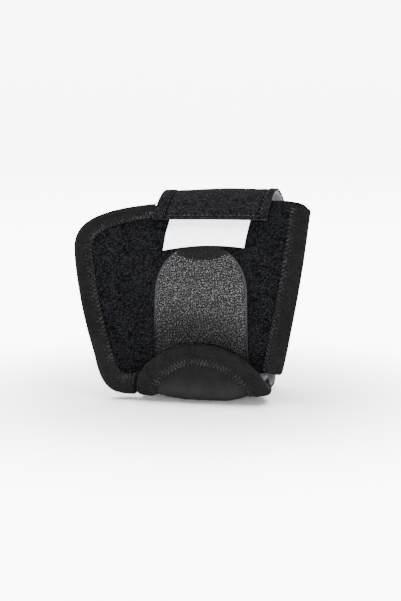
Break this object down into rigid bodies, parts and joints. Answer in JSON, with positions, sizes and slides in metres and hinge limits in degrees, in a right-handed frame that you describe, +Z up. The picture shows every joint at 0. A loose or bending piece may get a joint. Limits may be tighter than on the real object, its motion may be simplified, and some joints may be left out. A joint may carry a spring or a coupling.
{
  "type": "tennis elbow strap",
  "caption": "Padded forearm support strap fastened into a closed loop: bound plush front panel, sewn wrap strap, rounded end pad and hook tab pressed up the front.",
  "frame": {"origin": "middle of the part's footprint on the surface that the end pad stands on", "axes": "+X along the forearm, to the right of someone facing the front panel; +Y from the front panel to the back of the loop; +Z up, to the crest of the strap"},
  "size_m": [0.128, 0.0642, 0.113],
  "materials": {
    "plush": "matte brushed loop pile",
    "binding": "matte knitted tape",
    "strap_cloth": "matte loop cloth with stitched hems",
    "lining": "soft grey brushed lining",
    "label_satin": "white satin",
    "hook_tape": "back of woven hook tape, speckled grey",
    "jersey": "smooth jersey over foam"
  },
  "bodies": {
    "root": {"front_panel": "plush", "panel_binding_left": "binding", "panel_binding_right": "binding", "wrap_strap": "strap_cloth", "strap_lining": "lining", "label": "label_satin", "hook_tab": "hook_tape", "end_pad": "jersey", "pad_binding": "binding"}
  },
  "joints": []
}
